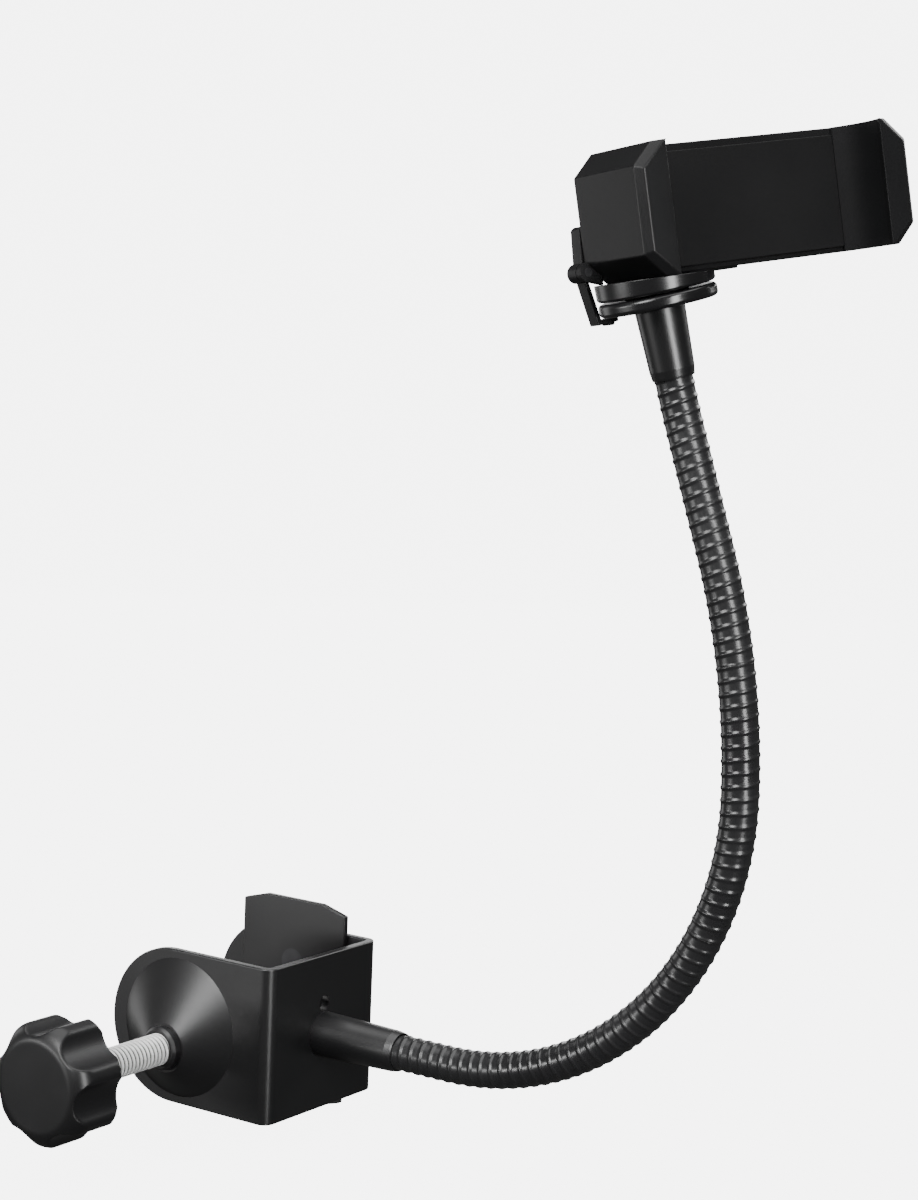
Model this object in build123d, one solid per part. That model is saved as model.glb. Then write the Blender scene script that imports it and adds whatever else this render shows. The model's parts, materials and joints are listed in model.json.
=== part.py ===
"""Phone gooseneck holder: a screw clamp for an upright pole, a ribbed bending neck and a sprung phone clip.

Millimetres. The origin is on the axis of the clamped pole at the bracket's mid height.
+X runs out along the neck's root, -Y towards the knob, +Z up along the pole.
The discs and the latch are modelled in a head frame, with Z along the swivel axis, X along the phone clip
and -Y on the side where the phone lies. The clip sits on the upper disc's slanted top, so its own frame is
the head frame tilted about Y.
"""
from build123d import *
import math
import os

# clamp bracket
pole_diameter = 34.6
throat = 47.3
sheet = 2.5
bracket_height = 46.8
web_reach = 33.3
arm_overhang = 27.4
bend_radius = 1.2
edge_round = 0.4
dish_radius = 21.0
dish_crown_radius = 7.5
dish_height = 8.0
dish_shift = -1.1
hole_diameter = 4.8
hole_height = 8.6

# rear jaw plate and its rivets
jaw_plate_thickness = 2.0
jaw_plate_width = 40.0
jaw_plate_height = 64.0
jaw_plate_shift = 3.4
jaw_chamfer_width = 9.0
jaw_chamfer_drop = 2.5
rivet_spacing = 24.0
rivet_diameter = 5.0
rivet_head_diameter = 8.4
rivet_head_height = 1.8

# clamp screw, collar, knob and pad
screw_drop = 4.2
screw_diameter = 9.5
thread_showing = 27.0
collar_flange_diameter = 13.0
collar_flange_height = 2.5
collar_spigot_diameter = 11.6
collar_inside = 1.5
knob_diameter = 36.4
knob_face_diameter = 26.0
knob_height = 18.3
knob_crown = 6.0
knob_turn_deg = 5.0
knob_hub_diameter = 16.0
knob_hub_height = 6.0
knob_bore_depth = 13.0
lobe_count = 7
scallop_radius = 8.0
scallop_depth = 3.6
lobe_round = 2.0
pad_diameter = 20.0
pad_thickness = 5.0
pad_socket_depth = 3.5
screw_tip_diameter = 5.0

# ferrules and the bolt in the lower one
ferrule_diameter = 13.5
ferrule_end_diameter = 12.1
lower_ferrule_length = 29.0
upper_ferrule_length = 19.0
ferrule_grip = 12.0
ferrule_lip = 1.2
bolt_diameter = 6.0
bolt_head_diameter = 11.0
bolt_head_height = 4.0
bolt_length = 15.0
washer_diameter = 13.0
washer_thickness = 1.5

# gooseneck
neck_diameter = 10.7
groove_diameter = 9.5
ridge_pitch = 3.55
neck_drop = 0.7
elbow_reach = 173.0
elbow_radius = 90.0
knee_reach = 168.3
knee_height = 126.0
knee_radius = 230.0
nape_reach = 148.0
nape_side = 4.8
nape_height = 193.3
nape_radius = 80.0
nape_to_head = 26.0
head_lean_x = 0.18
head_lean_y = 0.188
bend_stations = (0.31, 0.58, 0.82)
bend_cone_deg = 10.0

# discs on the swivel axis
disc_diameter = 31.6
base_disc_thickness = 3.6
swivel_disc_thickness = 3.4
disc_round = 1.2
friction_washer_diameter = 17.0
friction_washer_thickness = 0.5
pivot_shoulder_diameter = 8.0
pivot_thread_diameter = 5.0
pivot_thread_length = 9.0
pivot_head_diameter = 12.0
pivot_head_height = 1.2
disc_screw_diameter = 3.0
disc_screw_head_diameter = 5.4
disc_screw_head_height = 1.2
disc_screw_length = 4.4
disc_screw_places = ((-4.2, 8.6), (8.0, 8.0))

# phone clip
swivel_deg = 64.6
clip_tilt_deg = 5.2
clip_length = 89.0
clip_height = 34.5
clip_left = -12.1
clip_front = -16.5
clip_back = 13.8
jaw_lip = 9.7
jaw_hollow = 2.1
jaw_foot = 12.0
lip_bevel = 2.0
corner_width = 6.3
corner_height = 5.9
channel_depth = 17.5
liner_thickness = 1.0
liner_margin = 2.0
plate_thickness = 3.0
plate_lift = 0.6
housing_wall = 1.2
housing_end_wall = 2.0
housing_floor = 3.6
pocket_depth = 4.5
pocket_left_wall = 4.2
cover_rim = 2.0
cover_left_rim = 8.0
slot_height = 12.6
jaw_travel = 22.0

# shoe, rods and springs inside the clip
shoe_ear_length = 3.0
boss_length = 6.6
rod_diameter = 2.4
rod_anchor = 1.6
spring_room = 0.8
spring_diameter = 3.8
spring_bore = 2.7
shoe_screw_diameter = 2.5
shoe_screw_head_diameter = 4.6
shoe_screw_head_height = 1.6
shoe_screw_spacing = 8.0

# latch
latch_pivot_x = -11.9
latch_pivot_z = 12.5
latch_width = 4.2
latch_barrel_radius = 2.6
latch_thickness = 1.3
latch_tab_top = 24.6
latch_tab_slant = 1.8
latch_arm_slant = 1.95
latch_foot_tip = -4.0
latch_foot_gap = 0.7
latch_nub_radius = 0.7
latch_pin_diameter = 2.4
latch_pin_head_diameter = 3.8
latch_pin_head_height = 0.7
latch_lug_depth = 2.0

# clearances
running_gap = 0.05
seat_gap = 0.3
slide_gap = 0.2

# places worked out from the sizes
pole_radius = pole_diameter / 2
rear_inner = pole_radius + jaw_plate_thickness
rear_outer = rear_inner + sheet
front_inner = rear_inner - throat
front_outer = front_inner - sheet
web_inner = web_reach - sheet
web_mid = (rear_inner + front_inner) / 2
half_height = bracket_height / 2
arm_round_x = half_height - arm_overhang
crown_outer = front_outer - dish_height
crown_inner = crown_outer + sheet
collar_face = crown_outer - collar_flange_height
knob_hub_end = collar_face - thread_showing
knob_back = knob_hub_end - knob_hub_height
knob_front = knob_back - knob_height
pad_face = -pole_radius
pad_back = pad_face - pad_thickness
neck_z = -neck_drop
lower_ferrule_end = web_reach + lower_ferrule_length

screw_axis = Plane(origin=(0, 0, -screw_drop), x_dir=(1, 0, 0), z_dir=(0, 1, 0))
neck_axis = Plane(origin=(0, web_mid, neck_z), x_dir=(0, 1, 0), z_dir=(1, 0, 0))

# head frame: the swivel axis leans back over the neck
head_up = Vector(-head_lean_x, -head_lean_y, 1).normalized()
nape = Vector(nape_reach, web_mid - nape_side, nape_height)
head_base = nape + head_up * nape_to_head
clip_plan = Vector(math.cos(math.radians(swivel_deg)), math.sin(math.radians(swivel_deg)), 0)
clip_along = (clip_plan - head_up * clip_plan.dot(head_up)).normalized()
head_frame = Plane(origin=head_base, x_dir=clip_along, z_dir=head_up)

# heights along the swivel axis, and the clip's outline above its tilted seat
swivel_bottom = base_disc_thickness + friction_washer_thickness
clip_bottom = swivel_bottom + swivel_disc_thickness
slope = math.tan(math.radians(clip_tilt_deg))
swivel_peak = clip_bottom + disc_diameter * slope
pivot_head_seat = clip_bottom - pivot_head_height - pivot_head_diameter / 2 * slope - seat_gap
clip_seat = Pos(0, 0, clip_bottom)
clip_frame = Plane(head_frame.location * clip_seat * Rot(0, clip_tilt_deg, 0) * clip_seat.inverse())
clip_top = clip_bottom + clip_height
clip_mid = (clip_bottom + clip_top) / 2
clip_right = clip_left + clip_length
floor_y = clip_front + channel_depth
plate_front = floor_y + liner_thickness
plate_back = plate_front + plate_thickness
housing_front = plate_back + seat_gap
pocket_front = housing_front + housing_wall
pocket_back = pocket_front + pocket_depth
pocket_left = clip_left + pocket_left_wall
pocket_half = clip_height / 2 - housing_floor
jaw_wall = clip_left + jaw_foot
shoe_left = pocket_left + slide_gap
boss_left = jaw_wall + 2 * seat_gap
boss_right = boss_left + boss_length
pocket_right = boss_right + jaw_travel + seat_gap
housing_right = pocket_right + housing_end_wall
rod_y = (pocket_front + pocket_back) / 2
rod_offset = pocket_half - spring_room - spring_diameter / 2
shoe_half = rod_offset - spring_diameter / 2 - 2 * slide_gap
ear_half = pocket_half - 3 * slide_gap


def turned(profile, frame):
    """Turn a closed (radius, height) outline about the frame's Z axis."""
    face = make_face(Polyline(*profile, close=True))
    return frame.location * revolve(Plane.XZ * face, Axis.Z)


def rod(frame, radius, low, high, x=0.0, y=0.0):
    """A cylinder along the frame's Z axis, from one height to the other."""
    standing = (Align.CENTER, Align.CENTER, Align.MIN)
    return frame.location * Pos(x, y, low) * Cylinder(radius, high - low, align=standing)


def block(x0, x1, y0, y1, z0, z1):
    """A box from its two corners."""
    size = (x1 - x0, y1 - y0, z1 - z0)
    return Pos((x0 + x1) / 2, (y0 + y1) / 2, (z0 + z1) / 2) * Box(*size)


def prism(outline, low, high):
    """A plan outline in XY drawn up between two heights."""
    return Pos(0, 0, low) * extrude(make_face(outline), high - low)


def side_prism(outline, near, far):
    """A side outline in XZ drawn along Y between two depths."""
    face = Plane.XZ * make_face(outline)
    return Pos(0, far, 0) * extrude(face, far - near)


def make_clamp_bracket():
    outer = Rectangle(web_reach + arm_overhang, rear_outer - front_outer, align=(Align.MAX, Align.CENTER))
    outer = fillet(outer.vertices().group_by(Axis.X)[-1], bend_radius + sheet)
    inner = Rectangle(web_inner + arm_overhang, throat, align=(Align.MAX, Align.CENTER))
    inner = fillet(inner.vertices().group_by(Axis.X)[-1], bend_radius)
    fold = Pos(web_reach, web_mid, 0) * outer - Pos(web_inner, web_mid, 0) * inner
    bracket = Pos(0, 0, -half_height) * extrude(fold, bracket_height)

    flat = Rectangle(web_reach - arm_round_x, bracket_height, align=(Align.MIN, Align.CENTER))
    arm = Pos(arm_round_x, 0) * (Circle(half_height) + flat)
    bracket &= Pos(0, rear_outer, 0) * extrude(Plane.XZ * arm, rear_outer - front_outer)
    bracket = fillet(bracket.edges().filter_by(Axis.Z, reverse=True), edge_round)

    bracket += dish(front_outer, crown_outer)
    bracket -= dish(front_inner, crown_inner)
    bracket -= rod(screw_axis, collar_spigot_diameter / 2, crown_outer, crown_inner)
    bracket -= rod(neck_axis, bolt_diameter / 2 + running_gap, web_inner, web_reach)
    hole = Plane(origin=(0, web_mid, hole_height), x_dir=(0, 1, 0), z_dir=(1, 0, 0))
    bracket -= rod(hole, hole_diameter / 2, web_inner, web_reach)
    for place in rivet_places():
        bracket -= rod(place, rivet_diameter / 2, rear_inner, rear_outer)
    return bracket


def dish(base_y, crown_y):
    """The pressed cone between the arm's face and its crown, which sits lower, round the screw."""
    base = Plane(origin=(dish_shift, base_y, 0), x_dir=(1, 0, 0), z_dir=(0, -1, 0))
    crown = Plane(origin=(0, crown_y, -screw_drop), x_dir=(1, 0, 0), z_dir=(0, -1, 0))
    return loft([base * Circle(dish_radius), crown * Circle(dish_crown_radius)], ruled=True)


def rivet_places():
    places = []
    for side in (-1, 1):
        origin = (jaw_plate_shift, 0, side * rivet_spacing / 2)
        places.append(Plane(origin=origin, x_dir=(1, 0, 0), z_dir=(0, 1, 0)))
    return places


def make_rear_jaw_plate():
    half_width = jaw_plate_width / 2
    half_tall = jaw_plate_height / 2
    corner = [
        (half_width, half_tall - jaw_chamfer_drop),
        (half_width - jaw_chamfer_width, half_tall),
    ]
    top = corner + [(-x, z) for x, z in reversed(corner)]
    points = top + [(x, -z) for x, z in reversed(top)]
    outline = Polyline(*[(jaw_plate_shift + x, z) for x, z in points], close=True)
    plate = side_prism(outline, pole_radius, rear_inner)
    for place in rivet_places():
        plate -= turned(rivet_profile(0.0), place)
    return plate


def rivet_profile(gap):
    """Shank, flush countersunk head on the jaw's face and domed head behind the arm."""
    shank = rivet_diameter / 2 - gap
    head = rivet_head_diameter / 2
    flush_depth = jaw_plate_thickness * 0.8
    behind = rear_outer + rivet_head_height
    return [
        (0, pole_radius),
        (head - gap, pole_radius),
        (shank, pole_radius + flush_depth),
        (shank, rear_outer),
        (head, rear_outer),
        (head * 0.8, behind - rivet_head_height * 0.35),
        (head * 0.4, behind),
        (0, behind),
    ]


def make_jaw_rivets():
    return [turned(rivet_profile(running_gap), place) for place in rivet_places()]


def make_threaded_collar():
    spigot = collar_spigot_diameter / 2 - running_gap
    flange = collar_flange_diameter / 2
    bore = screw_diameter / 2 + running_gap
    ease = collar_flange_height * 0.3
    return turned(
        [
            (bore, collar_face),
            (flange - ease, collar_face),
            (flange, collar_face + ease),
            (flange, crown_outer),
            (spigot, crown_outer),
            (spigot, crown_inner + collar_inside),
            (bore, crown_inner + collar_inside),
        ],
        screw_axis,
    )


def make_clamp_screw():
    shaft = screw_diameter / 2
    tip = screw_tip_diameter / 2
    inner_end = knob_hub_end - knob_bore_depth
    shoulder = pad_back - seat_gap
    return turned(
        [
            (0, inner_end),
            (shaft, inner_end),
            (shaft, shoulder),
            (tip, shoulder),
            (tip, pad_back + pad_socket_depth - seat_gap),
            (0, pad_back + pad_socket_depth - seat_gap),
        ],
        screw_axis,
    )


def make_pressure_pad():
    rim = pad_diameter / 2
    ease = pad_thickness * 0.25
    pad = turned(
        [
            (0, pad_back),
            (rim - 2 * ease, pad_back),
            (rim, pad_back + 2 * ease),
            (rim, pad_face - ease),
            (rim - ease, pad_face),
            (0, pad_face),
        ],
        screw_axis,
    )
    socket = rod(screw_axis, screw_tip_diameter / 2 + running_gap, pad_back, pad_back + pad_socket_depth)
    return pad - socket


def make_star_knob():
    rim = knob_diameter / 2
    face = knob_face_diameter / 2
    hub = knob_hub_diameter / 2
    shoulder = knob_front + knob_crown
    dome_mid = (face + (rim - face) * 0.72, knob_front + knob_crown * 0.34)
    outline = [
        ThreePointArc((face, knob_front), dome_mid, (rim, shoulder)),
        Polyline(
            (rim, shoulder),
            (rim, knob_back - lobe_round),
            (rim - lobe_round, knob_back),
            (hub, knob_back),
            (hub, knob_hub_end),
            (0, knob_hub_end),
            (0, knob_front),
            (face, knob_front),
        ),
    ]
    blank = revolve(Plane.XZ * make_face(outline), Axis.Z)

    star = Circle(rim)
    scallop_centre = rim - scallop_depth + scallop_radius
    for lobe in PolarLocations(scallop_centre, lobe_count, start_angle=-90 - knob_turn_deg):
        star -= lobe * Circle(scallop_radius)
    star = fillet(star.vertices(), lobe_round)
    lobes = Pos(0, 0, knob_front) * extrude(star, knob_height)
    core = Pos(0, 0, knob_back) * extrude(Circle(rim), knob_hub_height)
    knob = screw_axis.location * (blank & (lobes + core))
    return knob - rod(screw_axis, screw_diameter / 2, knob_hub_end - knob_bore_depth, knob_hub_end)


def ferrule_profile(root, end, bore_depth, screw_radius, screw_depth):
    """Tapered sleeve from its root face to the lip that grips the neck, as radii and heights."""
    way = 1 if end > root else -1
    wide = ferrule_diameter / 2
    slim = ferrule_end_diameter / 2
    bore = neck_diameter / 2 + running_gap
    mouth = end - way * bore_depth
    return [
        (screw_radius, root),
        (wide, root),
        (slim, end - way * 2 * ferrule_lip),
        (slim - ferrule_lip * 0.25, end - way * ferrule_lip * 0.4),
        (bore + ferrule_lip * 0.2, end),
        (bore, end),
        (bore, mouth),
        (0, mouth),
        (0, root + way * screw_depth),
        (screw_radius, root + way * screw_depth),
    ]


def make_lower_ferrule():
    profile = ferrule_profile(web_reach, lower_ferrule_end, ferrule_grip, bolt_diameter / 2, bolt_length)
    return turned(profile, neck_axis)


def make_upper_ferrule():
    thread_depth = upper_ferrule_length / 3
    profile = ferrule_profile(0, -upper_ferrule_length, ferrule_grip, pivot_thread_diameter / 2, thread_depth)
    return turned(profile, head_frame)


def make_ferrule_bolt():
    shank = bolt_diameter / 2 - running_gap
    seat = web_inner - washer_thickness
    head = neck_axis.location * Pos(0, 0, seat - bolt_head_height)
    head *= extrude(RegularPolygon(bolt_head_diameter / 2, 6), bolt_head_height)
    return head + rod(neck_axis, shank, seat, web_reach + bolt_length - 2 * seat_gap)


def make_lock_washer():
    ring = rod(neck_axis, washer_diameter / 2, web_inner - washer_thickness, web_inner)
    return ring - rod(neck_axis, bolt_diameter / 2, web_inner - washer_thickness, web_inner)


def neck_path():
    """The neck's centre line from the web to the swivel head: straight runs and tangent arcs."""
    route = [
        Vector(web_reach, web_mid, neck_z),
        Vector(elbow_reach, web_mid, neck_z),
        Vector(knee_reach, web_mid, knee_height),
        nape,
        head_base,
    ]
    return FilletPolyline(*route, radius=neck_bends(route))


def neck_bends(route):
    """The bends' radii: as named, or less where the two bends on a run would take up more than the run."""
    runs = [after - before for before, after in zip(route, route[1:])]
    radii = [elbow_radius, knee_radius, nape_radius]
    reaches = [0.0]
    for radius, into, away in zip(radii, runs, runs[1:]):
        reaches.append(radius * math.tan(math.radians(into.get_angle(away)) / 2))
    reaches.append(0.0)
    room = []
    for run, first, last in zip(runs, reaches, reaches[1:]):
        room.append(run.length / (first + last + seat_gap))
    return [radius * min(1, before, after) for radius, before, after in zip(radii, room, room[1:])]


def neck_stations():
    """Groove places along the centre line: both ends, each bend and the pitches between them."""
    path = neck_path()
    start = lower_ferrule_length - ferrule_grip + seat_gap
    stop = path.length - upper_ferrule_length + ferrule_grip - seat_gap
    count = round((stop - start) / ridge_pitch)
    pitch = (stop - start) / count
    bends = [round(share * count) for share in bend_stations]
    return path, start, pitch, [0] + bends + [count]


def neck_frame(path, place):
    """The section plane at a length along the centre line, turned the same way all along."""
    along = path.tangent_at(place, position_mode=PositionMode.LENGTH)
    origin = path.position_at(place, position_mode=PositionMode.LENGTH)
    side = Vector(0, 1, 0)
    return Plane(origin=origin, x_dir=side - along * side.dot(along), z_dir=along)


def make_gooseneck():
    """The winding in lengths that meet point to point in a groove, where the neck bends."""
    path, start, pitch, marks = neck_stations()
    ridge = neck_diameter / 2
    groove = groove_diameter / 2
    cone = groove * math.tan(math.radians(bend_cone_deg))
    lengths = []
    for first, last in zip(marks[:-1], marks[1:]):
        sections = []
        for mark in range(first, last + 1):
            place = start + mark * pitch
            bends_here = mark in marks[1:-1]
            if bends_here and mark == first:
                sections.append(Vertex(*neck_frame(path, place).origin))
                place += cone
            if bends_here and mark == last:
                place -= cone
            sections.append(neck_frame(path, place) * Circle(groove))
            if mark < last:
                middle = start + (mark + 0.5) * pitch
                sections.append(neck_frame(path, middle) * Circle(ridge))
            elif bends_here:
                sections.append(Vertex(*neck_frame(path, place + cone).origin))
        lengths.append(loft(sections, ruled=True))
    return lengths


def make_base_disc():
    disc = rod(head_frame, disc_diameter / 2, 0, base_disc_thickness)
    disc = fillet(disc.edges(), disc_round)
    return disc - rod(head_frame, pivot_thread_diameter / 2, 0, base_disc_thickness)


def make_friction_washer():
    top = base_disc_thickness + friction_washer_thickness
    ring = rod(head_frame, friction_washer_diameter / 2, base_disc_thickness, top)
    return ring - rod(head_frame, pivot_shoulder_diameter / 2 + seat_gap, base_disc_thickness, top)


def make_swivel_disc():
    ease = disc_round / 2
    disc = turned(
        [
            (0, swivel_bottom),
            (disc_diameter / 2 - ease, swivel_bottom),
            (disc_diameter / 2, swivel_bottom + ease),
            (disc_diameter / 2, swivel_peak),
            (0, swivel_peak),
        ],
        head_frame,
    )
    reach = disc_diameter
    disc -= clip_frame.location * block(-reach, reach, -reach, reach, clip_bottom, clip_bottom + reach)
    disc -= rod(head_frame, pivot_shoulder_diameter / 2 + running_gap, swivel_bottom, swivel_peak)
    disc -= rod(head_frame, pivot_head_diameter / 2 + seat_gap, pivot_head_seat, swivel_peak)
    for x, y in disc_screw_places:
        seat = swivel_bottom + disc_screw_head_height
        disc -= rod(head_frame, disc_screw_head_diameter / 2 + running_gap, swivel_bottom, seat, x, y)
        disc -= rod(head_frame, disc_screw_diameter / 2 + running_gap, seat, swivel_peak, x, y)
    return disc


def make_pivot_screw():
    thread = pivot_thread_diameter / 2 - running_gap
    shoulder = pivot_shoulder_diameter / 2
    head = pivot_head_diameter / 2
    head_seat = pivot_head_seat + running_gap
    tip = base_disc_thickness - pivot_thread_length
    return turned(
        [
            (0, tip),
            (thread, tip),
            (thread, base_disc_thickness),
            (shoulder, base_disc_thickness),
            (shoulder, head_seat),
            (head, head_seat),
            (head, head_seat + pivot_head_height),
            (0, head_seat + pivot_head_height),
        ],
        head_frame,
    )


def make_disc_screws():
    screws = []
    for x, y in disc_screw_places:
        seat = swivel_bottom + disc_screw_head_height
        head = rod(head_frame, disc_screw_head_diameter / 2, swivel_bottom + running_gap, seat, x, y)
        shank = rod(head_frame, disc_screw_diameter / 2 - running_gap, seat, seat + disc_screw_length, x, y)
        screws.append(head + shank)
    return screws


def jaw_outline(back, floor_end):
    """Plan of a jaw at the left: outer face, lip and hollow grip, down to the channel's floor."""
    lip_inner = clip_left + jaw_lip
    grip_mid = (lip_inner - jaw_hollow, clip_front + channel_depth * 0.55)
    return [
        Polyline((clip_left, back), (clip_left, clip_front), (lip_inner, clip_front)),
        ThreePointArc((lip_inner, clip_front), grip_mid, (jaw_wall, floor_y)),
        Polyline((jaw_wall, floor_y), *floor_end, (clip_left, back)),
    ]


def bevelled_jaw(back, floor_end):
    """The jaw at the clip's full height, with its corners cut and its lip bevelled round the outside."""
    jaw = prism(jaw_outline(back, floor_end), clip_bottom, clip_top) - jaw_corners()
    front = jaw.edges().group_by(Axis.Y)[0]
    lip = front.filter_by_position(Axis.X, clip_left, clip_left + corner_width * 0.75)
    return chamfer(lip, lip_bevel)


def jaw_corners():
    """What is cut off the jaw's outer edge at the top and at the bottom."""
    low, high = clip_bottom, clip_top
    wide = clip_left + corner_width
    top = Polyline((clip_left, high), (wide, high), (clip_left, high - corner_height), close=True)
    bottom = Polyline((clip_left, low), (wide, low), (clip_left, low + corner_height), close=True)
    depth = (clip_front, clip_back)
    return side_prism(top, *depth) + side_prism(bottom, *depth)


def mirrored_jaw(solid):
    """The same form at the clip's other end."""
    return mirror(solid, Plane.YZ.offset((clip_left + clip_right) / 2))


def make_clip_body():
    floor_end = [(jaw_wall, housing_front), (housing_right, housing_front), (housing_right, clip_back)]
    body = bevelled_jaw(clip_back, floor_end)

    lug_x, lug_z = latch_in_clip()
    lug = Pos(lug_x, lug_z) * Circle(latch_barrel_radius)
    lug += Polygon(
        (lug_x, lug_z - latch_barrel_radius),
        (pocket_left, clip_bottom),
        (pocket_left, lug_z + latch_barrel_radius),
        (lug_x, lug_z + latch_barrel_radius),
        align=None,
    )
    body += Pos(0, clip_back, 0) * extrude(Plane.XZ * lug, latch_lug_depth)
    pocket_low, pocket_high = clip_mid - pocket_half, clip_mid + pocket_half
    body -= block(pocket_left, pocket_right, pocket_front, pocket_back, pocket_low, pocket_high)
    body -= cover_block(0.0)
    slot_right = boss_right + jaw_travel + slide_gap
    slot_low, slot_high = clip_mid - slot_height / 2, clip_mid + slot_height / 2
    body -= block(jaw_wall, slot_right, housing_front, pocket_front, slot_low, slot_high)

    body -= rod(latch_axis(lug_x, lug_z), latch_pin_diameter / 2, clip_back - latch_lug_depth, clip_back)
    rod_left, rod_right = pocket_left - rod_anchor, pocket_right + rod_anchor
    for z in rod_heights():
        body -= along_clip(rod_diameter / 2 + running_gap, rod_left, rod_right, z)
    body = clip_frame.location * body
    hole_end = swivel_bottom + disc_screw_head_height + disc_screw_length + seat_gap
    for x, y in disc_screw_places:
        body -= rod(head_frame, disc_screw_diameter / 2, swivel_bottom, hole_end, x, y)
    return body


def rod_heights():
    return (clip_mid - rod_offset, clip_mid + rod_offset)


def along_clip(radius, left, right, z):
    """A cylinder along the clip, on the rods' line."""
    line = Plane(origin=(0, rod_y, z), x_dir=(0, 1, 0), z_dir=(1, 0, 0))
    return rod(line, radius, left, right)


def cover_block(gap):
    left = clip_left + cover_left_rim + gap
    right = housing_right - cover_rim - gap
    low = clip_bottom + cover_rim + gap
    high = clip_top - cover_rim - gap
    return block(left, right, pocket_back, clip_back, low, high)


def make_rear_cover():
    return clip_frame.location * cover_block(running_gap)


def make_sliding_jaw():
    plate_left = boss_left
    mirror_sum = clip_left + clip_right
    floor_end = [
        (jaw_wall, plate_front),
        (mirror_sum - plate_left, plate_front),
        (mirror_sum - plate_left, plate_back),
    ]
    jaw = mirrored_jaw(bevelled_jaw(plate_back, floor_end))
    jaw -= block(plate_left, clip_right, clip_front, plate_back, clip_bottom, clip_bottom + plate_lift)
    half_boss = slot_height / 2 - slide_gap
    boss_low, boss_high = clip_mid - half_boss, clip_mid + half_boss
    jaw += block(boss_left, boss_right, plate_back, pocket_front + slide_gap, boss_low, boss_high)
    for place in shoe_screw_places():
        jaw -= rod(place, shoe_screw_diameter / 2, plate_front + liner_thickness, pocket_back)
    return clip_frame.location * jaw


def shoe_screw_places():
    places = []
    for side in (-1, 1):
        origin = ((boss_left + boss_right) / 2, 0, clip_mid + side * shoe_screw_spacing / 2)
        places.append(Plane(origin=origin, x_dir=(1, 0, 0), z_dir=(0, 1, 0)))
    return places


def make_slide_shoe():
    front = pocket_front + slide_gap
    back = pocket_back - 2 * slide_gap
    ear_right = shoe_left + shoe_ear_length
    shoe = block(shoe_left, boss_right, front, back, clip_mid - shoe_half, clip_mid + shoe_half)
    shoe += block(shoe_left, ear_right, front, back, clip_mid - ear_half, clip_mid + ear_half)
    for z in rod_heights():
        shoe -= along_clip(rod_diameter / 2 + running_gap, shoe_left, ear_right, z)
    for place in shoe_screw_places():
        shoe -= turned(shoe_screw_profile(0.0), place)
    return clip_frame.location * shoe


def shoe_screw_profile(gap):
    """Countersunk screw from the shoe's back into the plate's boss."""
    shank = shoe_screw_diameter / 2 - gap
    head = shoe_screw_head_diameter / 2 - gap
    back = pocket_back - 2 * slide_gap
    tip = plate_front + liner_thickness + seat_gap
    return [(0, tip), (shank, tip), (shank, back - shoe_screw_head_height), (head, back), (0, back)]


def make_shoe_screws():
    profile = shoe_screw_profile(running_gap)
    return [clip_frame.location * turned(profile, place) for place in shoe_screw_places()]


def make_guide_rods():
    left = pocket_left - rod_anchor
    right = pocket_right + rod_anchor
    return [clip_frame.location * along_clip(rod_diameter / 2, left, right, z) for z in rod_heights()]


def make_jaw_springs():
    left = shoe_left + shoe_ear_length
    springs = []
    for z in rod_heights():
        coil = along_clip(spring_diameter / 2, left, pocket_right, z)
        springs.append(clip_frame.location * (coil - along_clip(spring_bore / 2, left, pocket_right, z)))
    return springs


def make_floor_pad():
    left = boss_left + liner_margin / 2
    right = clip_right - jaw_foot
    low = clip_bottom + liner_margin
    high = clip_top - liner_margin
    return clip_frame.location * block(left, right, floor_y, plate_front, low, high)


def latch_in_clip():
    """The latch pivot's X and Z in the tilted clip's frame."""
    tilt = math.radians(clip_tilt_deg)
    rise = latch_pivot_z - clip_bottom
    x = latch_pivot_x * math.cos(tilt) - rise * math.sin(tilt)
    z = latch_pivot_x * math.sin(tilt) + rise * math.cos(tilt)
    return x, clip_bottom + z


def latch_axis(x, z):
    return Plane(origin=(x, 0, z), x_dir=(1, 0, 0), z_dir=(0, 1, 0))


def latch_near():
    return clip_back + seat_gap


def make_latch_lever():
    half = latch_thickness / 2
    foot_top = -latch_foot_gap
    foot_low = foot_top - latch_thickness
    heel = latch_pivot_x + latch_arm_slant
    tab = latch_pivot_x + latch_tab_slant
    profile = Polygon(
        (latch_pivot_x - half, latch_pivot_z),
        (heel - half, foot_low),
        (latch_foot_tip, foot_low),
        (latch_foot_tip, foot_top),
        (heel + half, foot_top),
        (latch_pivot_x + half, latch_pivot_z),
        (tab + half, latch_tab_top),
        (tab - half, latch_tab_top - half),
        align=None,
    )
    profile += Pos(latch_pivot_x, latch_pivot_z) * Circle(latch_barrel_radius)
    profile += Pos(latch_foot_tip - 3 * latch_nub_radius, foot_low) * Circle(latch_nub_radius)
    far = latch_near() + latch_width
    lever = Pos(0, far, 0) * extrude(Plane.XZ * profile, latch_width)
    pivot = latch_axis(latch_pivot_x, latch_pivot_z)
    lever -= rod(pivot, latch_pin_diameter / 2 + running_gap, latch_near(), far)
    return head_frame.location * lever


def make_latch_pin():
    pin = latch_pin_diameter / 2
    head = latch_pin_head_diameter / 2
    seat = clip_back - latch_lug_depth
    head_near = latch_near() + latch_width + running_gap
    head_far = head_near + latch_pin_head_height
    profile = [
        (0, seat),
        (pin, seat),
        (pin, head_near),
        (head, head_near),
        (head * 0.7, head_far),
        (0, head_far),
    ]
    return head_frame.location * turned(profile, latch_axis(latch_pivot_x, latch_pivot_z))


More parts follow.
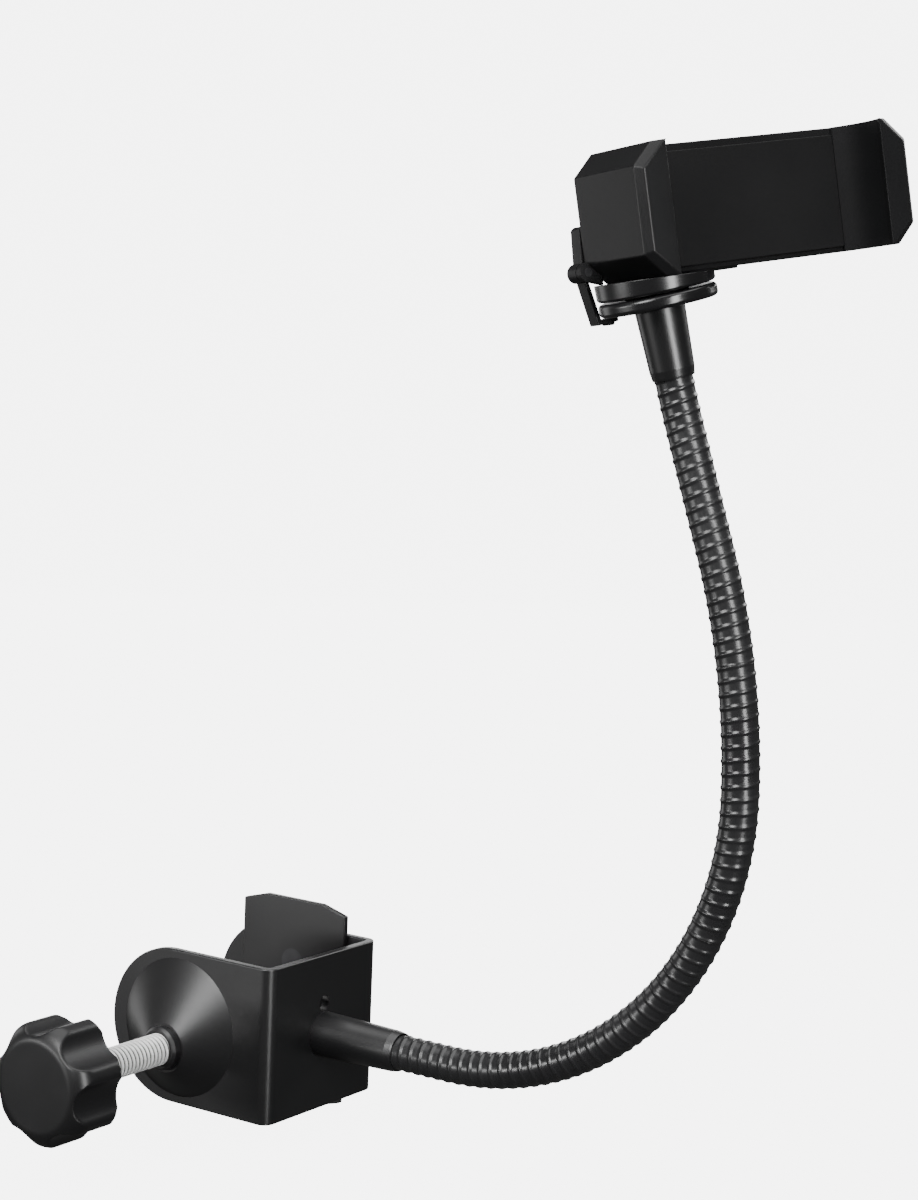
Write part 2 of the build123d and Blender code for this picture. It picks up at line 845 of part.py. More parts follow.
def nodes():
    made = {
        "clamp_bracket": make_clamp_bracket(),
        "rear_jaw_plate": make_rear_jaw_plate(),
        "jaw_rivets": make_jaw_rivets(),
        "threaded_collar": make_threaded_collar(),
        "clamp_screw": make_clamp_screw(),
        "star_knob": make_star_knob(),
        "pressure_pad": make_pressure_pad(),
        "lower_ferrule": make_lower_ferrule(),
        "ferrule_bolt": make_ferrule_bolt(),
        "lock_washer": make_lock_washer(),
        "upper_ferrule": make_upper_ferrule(),
        "base_disc": make_base_disc(),
        "friction_washer": make_friction_washer(),
        "swivel_disc": make_swivel_disc(),
        "pivot_screw": make_pivot_screw(),
        "disc_screws": make_disc_screws(),
        "clip_body": make_clip_body(),
        "rear_cover": make_rear_cover(),
        "sliding_jaw": make_sliding_jaw(),
        "slide_shoe": make_slide_shoe(),
        "shoe_screws": make_shoe_screws(),
        "guide_rods": make_guide_rods(),
        "jaw_springs": make_jaw_springs(),
        "floor_pad": make_floor_pad(),
        "latch_lever": make_latch_lever(),
        "latch_pin": make_latch_pin(),
    }
    for number, length in enumerate(make_gooseneck(), start=1):
        made[f"gooseneck_{number}"] = length
    return made


os.makedirs("parts", exist_ok=True)
for name, solid in nodes().items():
    shape = Compound(solid) if isinstance(solid, list) else solid
    shape.label = name
    export_step(shape, f"parts/{name}.step")
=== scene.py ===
import json
import math

import bmesh
import bpy
from mathutils import Matrix, Vector

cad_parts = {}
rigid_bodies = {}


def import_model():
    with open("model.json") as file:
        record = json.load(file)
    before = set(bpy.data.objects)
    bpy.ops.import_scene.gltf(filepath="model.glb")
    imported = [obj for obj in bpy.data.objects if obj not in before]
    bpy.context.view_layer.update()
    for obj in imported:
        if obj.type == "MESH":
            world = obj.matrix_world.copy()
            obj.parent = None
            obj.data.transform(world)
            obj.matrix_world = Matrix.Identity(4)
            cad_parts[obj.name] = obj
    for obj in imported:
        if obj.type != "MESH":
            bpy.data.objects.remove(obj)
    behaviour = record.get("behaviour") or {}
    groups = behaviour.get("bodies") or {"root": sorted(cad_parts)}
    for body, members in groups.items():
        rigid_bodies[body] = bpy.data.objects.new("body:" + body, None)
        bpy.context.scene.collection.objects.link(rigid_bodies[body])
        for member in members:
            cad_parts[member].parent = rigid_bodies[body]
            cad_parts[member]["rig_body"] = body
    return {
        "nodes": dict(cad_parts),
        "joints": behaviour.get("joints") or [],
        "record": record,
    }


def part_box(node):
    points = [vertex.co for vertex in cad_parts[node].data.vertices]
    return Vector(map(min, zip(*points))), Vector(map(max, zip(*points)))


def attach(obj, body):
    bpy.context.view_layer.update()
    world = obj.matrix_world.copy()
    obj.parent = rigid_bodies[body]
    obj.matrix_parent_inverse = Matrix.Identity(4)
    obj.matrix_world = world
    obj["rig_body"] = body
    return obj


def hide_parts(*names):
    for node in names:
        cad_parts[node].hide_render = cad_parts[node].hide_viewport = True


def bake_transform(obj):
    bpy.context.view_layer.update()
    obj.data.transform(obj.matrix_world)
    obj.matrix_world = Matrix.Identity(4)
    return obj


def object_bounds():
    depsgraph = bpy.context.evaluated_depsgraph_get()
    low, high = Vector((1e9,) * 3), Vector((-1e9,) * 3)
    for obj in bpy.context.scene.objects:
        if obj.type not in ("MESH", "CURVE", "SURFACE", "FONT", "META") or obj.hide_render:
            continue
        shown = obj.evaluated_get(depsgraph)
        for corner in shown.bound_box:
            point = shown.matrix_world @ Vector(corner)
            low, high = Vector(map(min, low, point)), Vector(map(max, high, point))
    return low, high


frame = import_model()
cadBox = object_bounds()
nodes = frame["nodes"]
joints = {joint["name"]: joint for joint in frame["joints"]}
mm = 0.001  # dictionaries are in millimetres and degrees, apart from the studio's lengths
mergeGap = 1e-6  # metres, closes the seams between a solid's loose triangles
sharpAngle = math.radians(28)  # an edge that turns by more than this is a sharp one
white = (1.0, 1.0, 1.0, 1.0)
print("frame loaded:", len(nodes), "nodes")


def newObject(name, data):
    obj = bpy.data.objects.new(name, data)
    bpy.context.scene.collection.objects.link(obj)
    return obj


def newMesh(name, bm):
    mesh = bpy.data.meshes.new(name)
    bm.to_mesh(mesh)
    bm.free()
    return mesh


def shapedMesh(obj):  # the object's mesh as its modifiers leave it
    bpy.context.view_layer.update()
    return bpy.data.meshes.new_from_object(obj.evaluated_get(bpy.context.evaluated_depsgraph_get()))


def newPiece(name, bm, material, creaseDegrees=180, fromSolid=False):
    bmesh.ops.remove_doubles(bm, verts=bm.verts, dist=mergeGap)
    if not fromSolid:  # a solid's own faces already point outwards
        bmesh.ops.recalc_face_normals(bm, faces=bm.faces)
    for face in bm.faces:
        face.smooth = True
    for edge in bm.edges:
        edge.smooth = edge.calc_face_angle(0) < math.radians(creaseDegrees)
    mesh = newMesh(name, bm)
    mesh.materials.append(material)
    obj = newObject(name, mesh)
    return obj


def setInputs(node, values):
    for socket, value in values.items():
        node.inputs[socket].default_value = value


# camera, as fitted to the photograph
camera = {
    "place": (479.2, -585.0, 209.4),
    "azimuth": 34.739,
    "elevation": 6.081,
    "roll": 2.242,
    "focalPixels": 2500.0,
    "longSide": 1200.0,  # the photograph's height in pixels
    "sensor": 36.0,
    "clip": (20.0, 20000.0),
}


def makeCamera():
    data = bpy.data.cameras.new("photoCamera")
    data.sensor_width = camera["sensor"]
    data.lens = camera["focalPixels"] / camera["longSide"] * camera["sensor"]
    data.clip_start, data.clip_end = (reach * mm for reach in camera["clip"])
    obj = newObject("photoCamera", data)
    a, e, r = (math.radians(camera[angle]) for angle in ("azimuth", "elevation", "roll"))
    look = Vector((-math.sin(a) * math.cos(e), math.cos(a) * math.cos(e), -math.sin(e)))
    level = Vector((math.cos(a), math.sin(a), 0.0))
    upright = level.cross(look)
    right = level * math.cos(r) + upright * math.sin(r)
    up = upright * math.cos(r) - level * math.sin(r)
    turn = Matrix((right, up, -look)).transposed()
    obj.matrix_world = Matrix.Translation(Vector(camera["place"]) * mm) @ turn.to_4x4()
    bpy.context.scene.camera = obj


makeCamera()
print("camera set")


# surface effect that all finishes share: fine grain, and smudges that change tint and roughness
surface = {
    "grainDetail": 3.0,
    "grainHeight": 0.1,
    "smudgeDetail": 5.0,
    "smudgeSpan": (0.35, 0.68),  # part of the noise that the roughness follows
    "coatRoughness": 0.15,
}


def makeGrainGroup():
    group = bpy.data.node_groups.new("mouldedGrain", "ShaderNodeTree")
    group.interface.new_socket("Vector", in_out="INPUT", socket_type="NodeSocketVector")
    for label in ("Grain Scale", "Smudge Scale", "Roughness Low", "Roughness High"):
        group.interface.new_socket(label, in_out="INPUT", socket_type="NodeSocketFloat")
    for label in ("Height", "Roughness", "Smudge"):
        group.interface.new_socket(label, in_out="OUTPUT", socket_type="NodeSocketFloat")
    given = group.nodes.new("NodeGroupInput")
    out = group.nodes.new("NodeGroupOutput")
    grain = group.nodes.new("ShaderNodeTexNoise")
    setInputs(grain, {"Detail": surface["grainDetail"]})
    smudge = group.nodes.new("ShaderNodeTexNoise")
    setInputs(smudge, {"Detail": surface["smudgeDetail"]})
    spread = group.nodes.new("ShaderNodeMapRange")
    setInputs(spread, {"From Min": surface["smudgeSpan"][0], "From Max": surface["smudgeSpan"][1]})
    links = group.links
    links.new(given.outputs["Vector"], grain.inputs["Vector"])
    links.new(given.outputs["Grain Scale"], grain.inputs["Scale"])
    links.new(given.outputs["Vector"], smudge.inputs["Vector"])
    links.new(given.outputs["Smudge Scale"], smudge.inputs["Scale"])
    links.new(smudge.outputs["Fac"], spread.inputs["Value"])
    links.new(given.outputs["Roughness Low"], spread.inputs["To Min"])
    links.new(given.outputs["Roughness High"], spread.inputs["To Max"])
    links.new(grain.outputs["Fac"], out.inputs["Height"])
    links.new(spread.outputs["Result"], out.inputs["Roughness"])
    links.new(smudge.outputs["Fac"], out.inputs["Smudge"])
    return group


grainGroup = makeGrainGroup()

# smudges mix the dark and the pale tint, and move the roughness between its two values
finishes = {
    "blackEnamel": {
        "dark": (0.0035, 0.0035, 0.0038), "pale": (0.0065, 0.0065, 0.007), "gloss": 0.66,
        "grain": 500.0, "smudge": 22.0, "rough": (0.32, 0.38), "bump": 0.02,
    },
    "neckSleeve": {
        "dark": (0.010, 0.010, 0.0105), "pale": (0.017, 0.017, 0.0178), "gloss": 0.5,
        "grain": 900.0, "smudge": 45.0, "rough": (0.25, 0.33), "bump": 0.03,
    },
    "knobPlastic": {
        "dark": (0.005, 0.005, 0.0053), "pale": (0.010, 0.010, 0.0105), "gloss": 0.4,
        "grain": 1800.0, "smudge": 30.0, "rough": (0.34, 0.42), "bump": 0.08,
    },
    "clipPlastic": {
        "dark": (0.0045, 0.0045, 0.0048), "pale": (0.009, 0.009, 0.0095), "gloss": 0.25,
        "grain": 2200.0, "smudge": 30.0, "rough": (0.36, 0.44), "bump": 0.10,
    },
    "jawPlastic": {
        "dark": (0.0065, 0.0065, 0.0068), "pale": (0.011, 0.011, 0.0115), "gloss": 0.07,
        "grain": 2200.0, "smudge": 30.0, "rough": (0.42, 0.50), "bump": 0.10,
    },
    "discPlastic": {
        "dark": (0.004, 0.004, 0.0043), "pale": (0.008, 0.008, 0.0085), "gloss": 0.5, "coat": 0.1,
        "grain": 1500.0, "smudge": 40.0, "rough": (0.22, 0.30), "bump": 0.04,
    },
    "linerRubber": {
        "dark": (0.004, 0.004, 0.0042), "pale": (0.007, 0.007, 0.0073), "gloss": 0.15,
        "grain": 1400.0, "smudge": 25.0, "rough": (0.50, 0.62), "bump": 0.2,
    },
    "padRubber": {
        "dark": (0.006, 0.006, 0.006), "pale": (0.012, 0.012, 0.012), "gloss": 0.4,
        "grain": 1200.0, "smudge": 60.0, "rough": (0.6, 0.75), "bump": 0.3,
    },
    "zincPlate": {
        "dark": (0.90, 0.90, 0.89), "pale": (0.97, 0.97, 0.96), "gloss": 0.6, "metal": 0.2,
        "grain": 1600.0, "smudge": 120.0, "rough": (0.22, 0.34), "bump": 0.02,
    },
    "darkSteel": {
        "dark": (0.05, 0.05, 0.052), "pale": (0.10, 0.10, 0.105), "gloss": 0.5, "metal": 1.0,
        "grain": 1600.0, "smudge": 120.0, "rough": (0.30, 0.45), "bump": 0.08,
    },
}


def makeFinish(name, look):
    material = bpy.data.materials.new(name)
    material.use_nodes = True
    tree = material.node_tree
    shader = tree.nodes["Principled BSDF"]
    setInputs(shader, {
        "Metallic": look.get("metal", 0.0),
        "Coat Weight": look.get("coat", 0.0),
        "Coat Roughness": surface["coatRoughness"],
        "Specular IOR Level": look["gloss"],
    })
    place = tree.nodes.new("ShaderNodeTexCoord")
    grain = tree.nodes.new("ShaderNodeGroup")
    grain.node_tree = grainGroup
    setInputs(grain, {
        "Grain Scale": look["grain"],
        "Smudge Scale": look["smudge"],
        "Roughness Low": look["rough"][0],
        "Roughness High": look["rough"][1],
    })
    tint = tree.nodes.new("ShaderNodeMix")
    tint.name = "tint"
    tint.data_type = "RGBA"
    setInputs(tint, {"A": (*look["dark"], 1.0), "B": (*look["pale"], 1.0)})
    bump = tree.nodes.new("ShaderNodeBump")
    setInputs(bump, {"Strength": look["bump"], "Distance": surface["grainHeight"] * mm})
    links = tree.links
    links.new(place.outputs["Object"], grain.inputs["Vector"])
    links.new(grain.outputs["Smudge"], tint.inputs["Factor"])
    links.new(tint.outputs["Result"], shader.inputs["Base Color"])
    links.new(grain.outputs["Roughness"], shader.inputs["Roughness"])
    links.new(grain.outputs["Height"], bump.inputs["Height"])
    links.new(bump.outputs["Normal"], shader.inputs["Normal"])
    return material


materials = {name: makeFinish(name, look) for name, look in finishes.items()}
slotFinish = {
    "black_enamel": "blackEnamel",
    "neck_winding": "neckSleeve",
    "knob_plastic": "knobPlastic",
    "clip_plastic": "clipPlastic",
    "disc_plastic": "discPlastic",
    "liner_rubber": "linerRubber",
    "pad_rubber": "padRubber",
    "zinc": "zincPlate",
    "dark_steel": "darkSteel",
}
nodeFinish = {"sliding_jaw": "jawPlastic"}  # duller than the rest of the clip


def slotOf(name):
    return next(e["material_slot"] for e in frame["record"]["subparts"] if e["node"] == name)


def finishOf(name):
    return materials[nodeFinish.get(name, slotFinish[slotOf(name)])]


for name, node in nodes.items():
    node.data.materials.clear()
    node.data.materials.append(finishOf(name))
print("finishes made:", len(materials))


# what the neck's winding and the screw's thread share
winding = {
    "weldGap": 0.005,  # joins each turn to the next
    "spareTurns": 2,  # trimmed off again at the ends
}


def wind(profile, axis, pitch, steps, turns):  # one turn is spun from the profile, then set in a row
    bm = bmesh.new()
    verts = [bm.verts.new(point) for point in profile]
    edges = [bm.edges.new(pair) for pair in zip(verts, verts[1:])]
    bmesh.ops.spin(
        bm, geom=verts + edges, cent=(0, 0, 0), axis=axis, dvec=Vector(axis) * pitch / steps,
        angle=2 * math.pi, steps=steps, use_duplicate=False,
    )
    bmesh.ops.remove_doubles(bm, verts=bm.verts, dist=winding["weldGap"])
    turn = newObject("oneTurn", newMesh("oneTurn", bm))
    row = turn.modifiers.new("row", "ARRAY")
    row.count = turns
    row.use_relative_offset = False
    row.use_constant_offset = True
    row.constant_offset_displace = Vector(axis) * pitch
    row.use_merge_vertices = True
    row.merge_threshold = winding["weldGap"]
    whole = bmesh.new()
    whole.from_mesh(shapedMesh(turn))
    bpy.data.objects.remove(turn)
    return whole


def trim(bm, point, direction, keepFar):  # cuts across and closes the cut
    cut = bmesh.ops.bisect_plane(
        bm, geom=bm.verts[:] + bm.edges[:] + bm.faces[:], plane_co=point, plane_no=direction,
        clear_inner=keepFar, clear_outer=not keepFar,
    )
    rim = [g for g in cut["geom_cut"] if isinstance(g, bmesh.types.BMEdge)]
    bmesh.ops.holes_fill(bm, edges=rim, sides=0)


# ribbed neck: a wound sleeve along the route, in three lengths that each bend at one hinge
neck = {
    "route": [
        (33.3, -4.35, -0.7),
        (173.0, -4.35, -0.7),
        (168.3, -4.35, 126.0),
        (148.0, -9.15, 193.3),
        (143.47, -13.88, 218.46),
    ],
    "bends": [90.0, 230.0, 80.0],
    "curveSteps": 64,
    "pitch": 3.55,
    "strip": 5.08,  # radius between the beads
    "bead": 5.35,  # radius on a bead
    "beadShare": 0.5,
    "profilePoints": 14,
    "stepsPerTurn": 28,
    "start": 17.0,  # in the lower ferrule
    "endShort": 7.0,  # before the route ends, in the upper ferrule
    "blendReach": 26.0,  # each side of a hinge
    "lowSlant": 52.0,  # from upright, where the neck passes its lowest hinge
}
neckLengths = [
    {"name": "neckLower", "hinge": "neck_bend_low", "standsFor": ("gooseneck_1",)},
    {"name": "neckMiddle", "hinge": "neck_bend_side", "standsFor": ("gooseneck_2", "gooseneck_3")},
    {"name": "neckUpper", "hinge": "neck_bend_high", "standsFor": ("gooseneck_4",)},
]


def roundedRoute():
    points = [Vector(p) for p in neck["route"]]
    stops = [(points[0], points[0])]  # ends of the straight runs, with their handles on the arcs
    for before, corner, after, radius in zip(points, points[1:], points[2:], neck["bends"]):
        into = (corner - before).normalized()
        away = (after - corner).normalized()
        turn = into.angle(away)
        reach = radius * math.tan(turn / 2)
        pull = radius * math.tan(turn / 4) * 4 / 3  # makes a Bezier arc nearly round
        first = corner - into * reach
        last = corner + away * reach
        stops.append((first, first + into * pull))
        stops.append((last, last - away * pull))
    stops.append((points[-1], points[-1]))
    knots = []
    for (start, arcBefore), (end, arcAfter) in zip(stops[::2], stops[1::2]):
        third = (end - start) / 3
        knots.append((arcBefore, start, start + third))
        knots.append((end - third, end, arcAfter))
    return knots


def neckCurve():
    data = bpy.data.curves.new("neckRoute", "CURVE")
    data.dimensions = "3D"
    data.resolution_u = neck["curveSteps"]
    data.twist_mode = "MINIMUM"
    spline = data.splines.new("BEZIER")
    knots = roundedRoute()
    spline.bezier_points.add(len(knots) - 1)
    for point, (left, place, right) in zip(spline.bezier_points, knots):
        point.handle_left_type = point.handle_right_type = "FREE"
        point.handle_left, point.co, point.handle_right = left * mm, place * mm, right * mm
    return newObject("neckRoute", data), spline.calc_length()


def stripProfile():  # a flat strip with one rounded bead a turn
    profile = []
    for i in range(neck["profilePoints"] + 1):
        share = i / neck["profilePoints"]
        rise = max(0.0, 1 - abs(2 * share - 1) / neck["beadShare"])
        radius = neck["strip"] + (neck["bead"] - neck["strip"]) * math.sin(rise * math.pi / 2) ** 2
        profile.append((neck["pitch"] * (share - 1), radius, 0.0))
    return profile


def bentSleeve():
    route, length = neckCurve()
    turns = math.ceil(length / mm / neck["pitch"]) + winding["spareTurns"]
    bm = wind(stripProfile(), (1, 0, 0), neck["pitch"], neck["stepsPerTurn"], turns)
    trim(bm, (neck["start"], 0, 0), (1, 0, 0), True)
    trim(bm, (length / mm - neck["endShort"], 0, 0), (1, 0, 0), False)
    bmesh.ops.scale(bm, vec=(mm, mm, mm), verts=bm.verts)
    straight = newObject("straightSleeve", newMesh("straightSleeve", bm))
    bend = straight.modifiers.new("bend", "CURVE")
    bend.object = route
    bend.deform_axis = "POS_X"
    bent = shapedMesh(straight)
    bpy.data.objects.remove(straight)
    bpy.data.objects.remove(route)
    print("neck wound: %.1f mm" % (length / mm))
    return bent


def makeNeck():
    bent = bentSleeve()
    hinges = [joints[part["hinge"]] for part in neckLengths]
    places = [Vector(hinge["pos_m"]) for hinge in hinges]
    middles = [(a + b) / 2 for a, b in zip(places, places[1:])]  # the lengths meet halfway between hinges
    normals = [(b - a).normalized() for a, b in zip(places, places[1:])]
    slant = math.radians(neck["lowSlant"])
    ways = [Vector((math.sin(slant), 0, math.cos(slant)))]
    ways += [(place - middle).normalized() for place, middle in zip(places[1:], middles)]
    for i, (part, hinge, place, way) in enumerate(zip(neckLengths, hinges, places, ways)):
        bm = bmesh.new()
        bm.from_mesh(bent)
        if i > 0:
            trim(bm, middles[i - 1], normals[i - 1], True)
        if i < len(middles):
            trim(bm, middles[i], normals[i], False)
        piece = newPiece(part["name"], bm, materials["neckSleeve"])
        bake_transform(piece)
        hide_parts(*part["standsFor"])


makeNeck()


# clamp screw: a wound thread from the knob to the pad's shoulder, and the plain tip in the pad
thread = {
    "pitch": 1.5875,
    "crest": 4.75,
    "root": 3.85,
    "profile": [  # shares of the pitch
        (0.0, "root"), (0.24, "crest"), (0.62, "crest"), (0.86, "root"), (1.0, "root"),
    ],
    "stepsPerTurn": 36,
    "crease": 35,
    # painted shade: the share of the zinc's colour left at the groove's root
    "grooveShade": 0.02,
    "grooveFade": (0.35, 0.9),  # shares of the thread's height where the shade starts and ends
    "shoulderGap": 0.3,
    "tip": 2.5,  # radius
    "tipSteps": 40,
    "tipEase": 0.3,
    "tipSunk": 1.0,  # into the thread
}


# zinc for the thread, with painted shade multiplied into its grooves
def makeThreadFinishAndShade(axisZ):
    material = makeFinish("zincThread", finishes["zincPlate"])
    tree = material.node_tree
    place = tree.nodes.new("ShaderNodeTexCoord")
    fromAxis = tree.nodes.new("ShaderNodeVectorMath")  # the place across the screw, from its axis
    fromAxis.operation = "MULTIPLY_ADD"
    setInputs(fromAxis, {1: (1.0, 0.0, 1.0), 2: (0.0, 0.0, -axisZ * mm)})
    radius = tree.nodes.new("ShaderNodeVectorMath")
    radius.operation = "LENGTH"
    depth = tree.nodes.new("ShaderNodeMapRange")  # painted shade: the groove's colour darkens towards its root
    height = thread["crest"] - thread["root"]
    darkest, clear = ((thread["root"] + share * height) * mm for share in thread["grooveFade"])
    setInputs(depth, {
        "From Min": darkest, "From Max": clear, "To Min": thread["grooveShade"], "To Max": 1.0,
    })
    shade = tree.nodes.new("ShaderNodeMix")
    shade.data_type = "RGBA"
    shade.blend_type = "MULTIPLY"
    setInputs(shade, {"Factor": 1.0})
    links = tree.links
    links.new(place.outputs["Object"], fromAxis.inputs[0])
    links.new(fromAxis.outputs["Vector"], radius.inputs[0])
    links.new(radius.outputs["Value"], depth.inputs["Value"])
    links.new(tree.nodes["tint"].outputs["Result"], shade.inputs["A"])
    links.new(depth.outputs["Result"], shade.inputs["B"])
    links.new(shade.outputs["Result"], tree.nodes["Principled BSDF"].inputs["Base Color"])
    return material


def addTip(bm, end, length):
    lay = Matrix.Translation((0, end - length / 2, 0)) @ Matrix.Rotation(math.radians(-90), 4, "X")
    tip = bmesh.ops.create_cone(
        bm, cap_ends=True, segments=thread["tipSteps"], radius1=thread["tip"], radius2=thread["tip"],
        depth=length, matrix=lay,
    )
    rims = {e for v in tip["verts"] for e in v.link_edges if e.calc_face_angle(0) > sharpAngle}
    bmesh.ops.bevel(
        bm, geom=list(rims), offset=thread["tipEase"], segments=2, profile=0.5, affect="EDGES",
        material=-1,
    )


def makeScrew():
    low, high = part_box("clamp_screw")
    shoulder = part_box("pressure_pad")[0].y / mm - thread["shoulderGap"]
    start, end = low.y / mm, high.y / mm
    axisZ = (low.z + high.z) / 2 / mm
    pitch = thread["pitch"]
    profile = [(0.0, start + (share - 1) * pitch, thread[part]) for share, part in thread["profile"]]
    turns = math.ceil((shoulder - start) / pitch) + winding["spareTurns"]
    bm = wind(profile, (0, 1, 0), pitch, thread["stepsPerTurn"], turns)
    trim(bm, (0, start, 0), (0, 1, 0), True)
    trim(bm, (0, shoulder, 0), (0, 1, 0), False)
    addTip(bm, end, end - shoulder + thread["tipSunk"])
    bmesh.ops.translate(bm, vec=(0, 0, axisZ), verts=bm.verts)
    bmesh.ops.scale(bm, vec=(mm, mm, mm), verts=bm.verts)
    piece = newPiece("screwThread", bm, makeThreadFinishAndShade(axisZ), thread["crease"])
    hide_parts("clamp_screw")
    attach(piece, "screw")
    print("thread cut:", turns, "turns")


makeScrew()


# pieces that start from a solid's own form
def mergedCopy(name):
    bm = bmesh.new()
    bm.from_mesh(nodes[name].data)
    bmesh.ops.remove_doubles(bm, verts=bm.verts, dist=mergeGap)
    return bm


def standFor(piece, name):
    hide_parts(name)
    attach(piece, nodes[name]["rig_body"])


# jaw springs, held by the housing at one end and pushed by the slide's shoe at the other: a merged copy of
# their solid that stays where it stands
springs = {"node": "jaw_springs", "joint": "jaw_slide", "shoe": "slide_shoe", "crease": 35}
slideWay = Vector(joints[springs["joint"]]["axis"]).normalized()


def makeSprings():
    name = springs["node"]
    bm = mergedCopy(name)
    finish, slotName = finishOf(name), slotOf(name)
    piece = newPiece(name + "Pressed", bm, finish, springs["crease"], fromSolid=True)
    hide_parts(name)
    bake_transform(piece)


makeSprings()


# moulded and pressed pieces: the long sharp edges of their solids are eased by these widths
easedEdges = {
    "clip_body": 0.4,
    "sliding_jaw": 0.4,
    "rear_cover": 0.3,
    "latch_lever": 0.25,
    "rear_jaw_plate": 0.35,
    "floor_pad": 0.3,
    "swivel_disc": 0.15,
}
easing = {
    "flatAngle": 0.3,  # facets that turn by less become one face
    "edgeWidths": 3,  # an eased edge is longer than this many widths
    "faceWidths": 2,  # and the faces beside it are deeper than this many
    "segments": 3,
    "crease": 50,
    "flatWeight": 90,
    "cutThrough": ("clip_body", "sliding_jaw", "latch_lever"),  # slots or stepped holes in their faces
}
cradle = next(m for m in frame["record"]["mounts"] if m["name"] == "phone_cradle")
channelWay = Vector(cradle["axis"]).normalized()
clipAxes = (slideWay, channelWay, slideWay.cross(channelWay))  # along, out of the channel, across


def clipSpan(name):  # a node's lowest and highest reach along each of the clip's axes
    reaches = ([v.co.dot(axis) for v in nodes[name].data.vertices] for axis in clipAxes)
    return [(min(reach), max(reach)) for reach in reaches]


housing = {"cover": clipSpan("rear_cover"), "floor": clipSpan("floor_pad")[1][0], "spare": 1.0}


def isInHousing(edge):  # under the channel plate and behind the cover, where nothing shows
    middle = (edge.verts[0].co + edge.verts[1].co) / 2
    along, out, across = (middle.dot(axis) for axis in clipAxes)
    near, far = housing["cover"][0]
    low, high = housing["cover"][2]
    spare = housing["spare"] * mm
    underCover = near - spare < along < far + spare and low - spare < across < high + spare
    return underCover and out < housing["floor"]


def isLongEdge(edge, width):  # an outer edge with room for its rounding
    if len(edge.link_faces) != 2 or not edge.is_convex or edge.calc_face_angle(0) < sharpAngle:
        return False
    length = edge.calc_length()
    room = min(face.calc_area() for face in edge.link_faces) / length
    return length > easing["edgeWidths"] * width * mm and room > easing["faceWidths"] * width * mm


def easeEdges(name, width):
    bm = mergedCopy(name)
    bmesh.ops.dissolve_limit(
        bm, angle_limit=math.radians(easing["flatAngle"]), verts=bm.verts, edges=bm.edges,
        delimit={"NORMAL"},
    )
    sharp = [edge for edge in bm.edges if isLongEdge(edge, width)]
    if name == "clip_body":
        sharp = [edge for edge in sharp if not isInHousing(edge)]
    if name in easing["cutThrough"]:  # their holes then stay open through the bevel
        bmesh.ops.triangulate(bm, faces=[f for f in bm.faces if len(f.verts) > 4], ngon_method="BEAUTY")
    bmesh.ops.bevel(
        bm, geom=sharp, offset=width * mm, segments=easing["segments"], profile=0.5, affect="EDGES",
        clamp_overlap=False, material=-1,
    )
    piece = newPiece(name + "Eased", bm, finishOf(name), easing["crease"], fromSolid=True)
    even = piece.modifiers.new("evenShading", "WEIGHTED_NORMAL")  # flat faces look flat
    even.weight = easing["flatWeight"]
    even.keep_sharp = True
    standFor(piece, name)


for name, width in easedEdges.items():
    easeEdges(name, width)
print("edges eased:", len(easedEdges), "pieces")


# moulded knob: every edge of its lobes is soft, so the whole form is rounded at once
knob = {"node": "star_knob", "voxel": 0.34, "softness": 0.5, "passes": 7}


def softenKnob():
    name = knob["node"]
    piece = newPiece(name + "Moulded", mergedCopy(name), finishOf(name), fromSolid=True)
    skin = piece.modifiers.new("skin", "REMESH")
    skin.mode = "VOXEL"
    skin.voxel_size = knob["voxel"] * mm
    skin.use_smooth_shade = True
    soft = piece.modifiers.new("soft", "SMOOTH")
    soft.factor = knob["softness"]
    soft.iterations = knob["passes"]
    standFor(piece, name)


softenKnob()
print("knob softened")


# studio, in metres: a pale floor that runs into the backdrop, a soft sky and softboxes
studio = {
    "floorSize": 30.0,
    "floorGap": 0.0002,
    "floorColour": (0.15, 0.15, 0.15),
    "floorRoughness": 0.9,
    "floorGlow": 5.85,  # with the light that falls on it, as bright as the backdrop
    "backdrop": 6.0,
    "roomGlow": 0.10,
    "skyStrength": 3.0,
    "skyAngle": 70.0,
}
softboxes = [
    {"name": "keyRight", "place": (1.3, -0.6, 0.35), "size": (0.32, 1.2), "watts": 26.0},
    {"name": "frontLeft", "place": (0.0, -1.25, 0.85), "size": (0.65, 0.8), "watts": 26.0},
    {"name": "lowLeft", "place": (-0.55, -0.95, 0.03), "size": (0.5, 0.1), "watts": 4.0, "shineOnly": True},
    {"name": "farLeft", "place": (-1.3, 0.05, 0.15), "size": (0.5, 0.9), "watts": 2.5},
    {"name": "backFill", "place": (-0.9, 1.2, 0.25), "size": (1.0, 0.35), "watts": 3.5},
    {"name": "backRim", "place": (0.35, 1.4, 0.8), "size": (1.0, 0.6), "watts": 12.0},
]


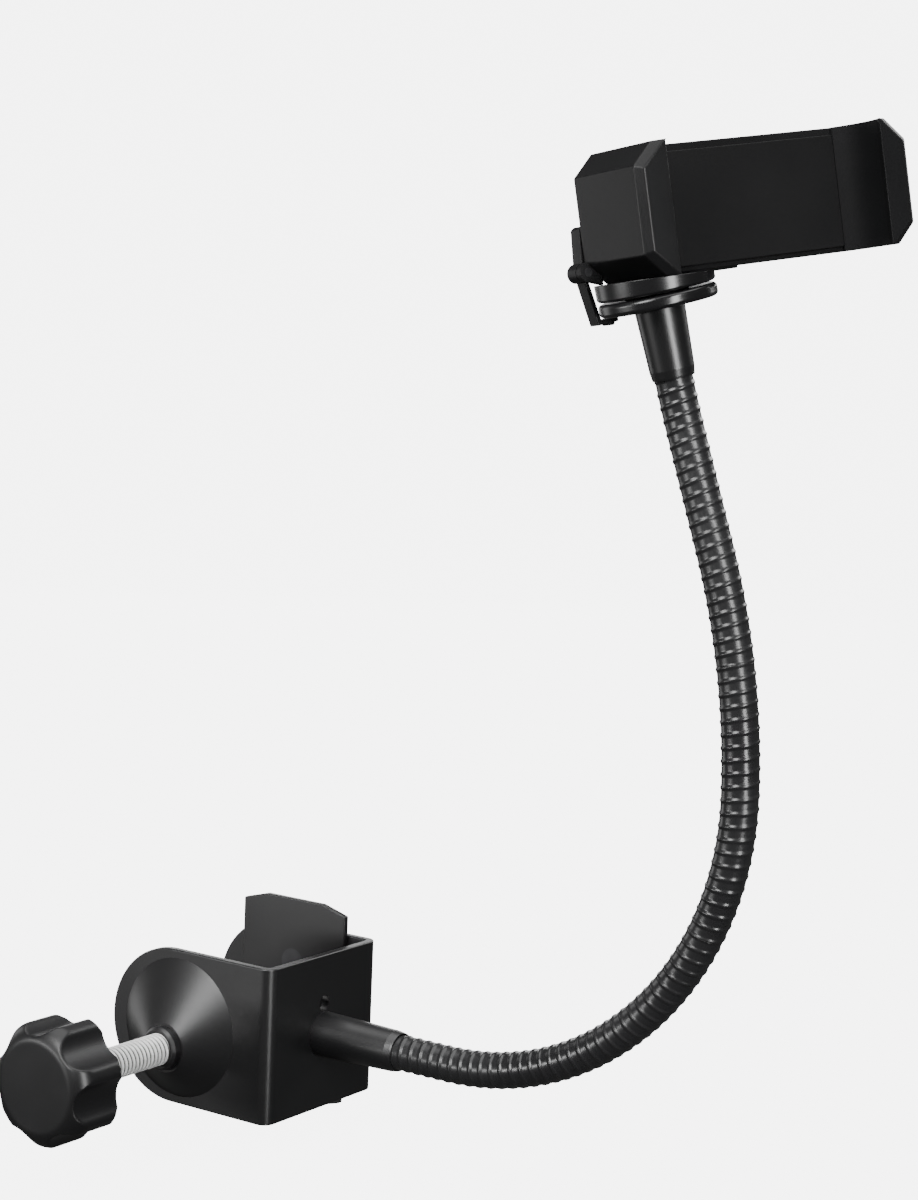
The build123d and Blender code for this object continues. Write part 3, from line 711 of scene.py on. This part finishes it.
def makeFloor():
    bm = bmesh.new()
    bmesh.ops.create_grid(bm, x_segments=2, y_segments=2, size=studio["floorSize"])
    bmesh.ops.translate(bm, vec=(0, 0, cadBox[0].z - studio["floorGap"]), verts=bm.verts)
    mesh = newMesh("paleFloor", bm)
    floor = newObject("paleFloor", mesh)
    paint = bpy.data.materials.new("floorPaint")
    paint.use_nodes = True
    setInputs(paint.node_tree.nodes["Principled BSDF"], {
        "Base Color": (*studio["floorColour"], 1.0),
        "Roughness": studio["floorRoughness"],
        "Specular IOR Level": 0.0,
        "Emission Color": white,
        "Emission Strength": studio["floorGlow"],
    })
    mesh.materials.append(paint)
    floor.visible_glossy = False  # its glow neither mirrors in the object nor lights it
    floor.visible_diffuse = False


def makeBackdrop():
    world = bpy.data.worlds.new("studioAir")
    bpy.context.scene.world = world
    world.use_nodes = True
    tree = world.node_tree
    air = tree.nodes["Background"]
    setInputs(air, {"Color": white, "Strength": studio["roomGlow"]})
    backdrop = tree.nodes.new("ShaderNodeBackground")
    setInputs(backdrop, {"Color": white, "Strength": studio["backdrop"]})
    path = tree.nodes.new("ShaderNodeLightPath")
    choose = tree.nodes.new("ShaderNodeMixShader")  # the camera alone sees the backdrop
    tree.links.new(path.outputs["Is Camera Ray"], choose.inputs["Fac"])
    tree.links.new(air.outputs["Background"], choose.inputs[1])
    tree.links.new(backdrop.outputs["Background"], choose.inputs[2])
    tree.links.new(choose.outputs["Shader"], tree.nodes["World Output"].inputs["Surface"])


def makeLights():
    sky = bpy.data.lights.new("softSky", "SUN")
    sky.energy = studio["skyStrength"]
    sky.angle = math.radians(studio["skyAngle"])
    newObject("softSky", sky)
    aim = (cadBox[0] + cadBox[1]) / 2
    for box in softboxes:
        data = bpy.data.lights.new(box["name"], "AREA")
        data.shape = "RECTANGLE"
        data.size, data.size_y = box["size"]
        data.energy = box["watts"]
        lamp = newObject(box["name"], data)
        lamp.visible_camera = False
        lamp.visible_diffuse = not box.get("shineOnly", False)  # leaves no pool on the floor
        place = Vector(box["place"])
        turn = (aim - place).to_track_quat("-Z", "Y").to_matrix()
        lamp.matrix_world = Matrix.Translation(place) @ turn.to_4x4()


makeFloor()
makeBackdrop()
makeLights()
print("studio lit:", len(softboxes), "softboxes")
